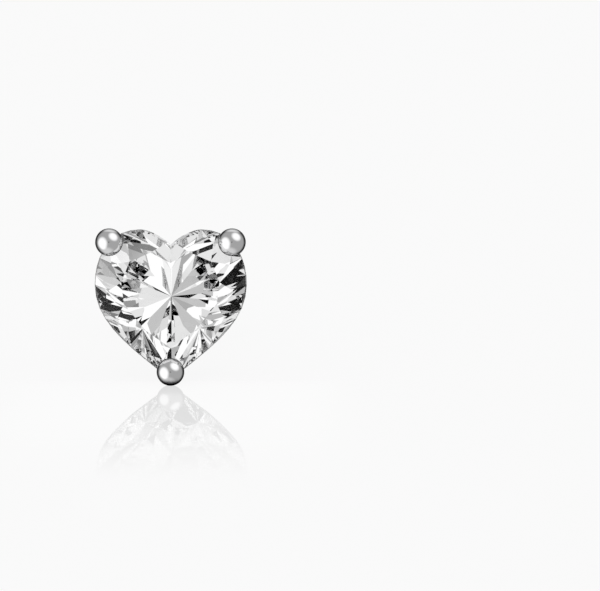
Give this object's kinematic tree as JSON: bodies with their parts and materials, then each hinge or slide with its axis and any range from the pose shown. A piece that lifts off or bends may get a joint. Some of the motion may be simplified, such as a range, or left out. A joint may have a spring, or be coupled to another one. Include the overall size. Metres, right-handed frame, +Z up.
{
  "type": "stud earring",
  "caption": "Stud earring with a clear heart-cut stone held by ball-tipped prongs on an open basket, an ear post and a butterfly clutch.",
  "frame": {"origin": "on the surface it rests on, below the middle of its bounding box", "axes": "the heart's face looks to -Y and leans back by 11.4 degrees, its point down; the post runs to +Y; +X is the viewer's right in the picture; +Z up"},
  "size_m": [0.006, 0.0146, 0.0061],
  "materials": {
    "clear_crystal": "faceted and polished, water clear",
    "rhodium_silver": "mirror-polished silver, rhodium plated"
  },
  "bodies": {
    "root": {"stone": "clear_crystal", "setting": "rhodium_silver", "clutch": "rhodium_silver"}
  },
  "joints": []
}
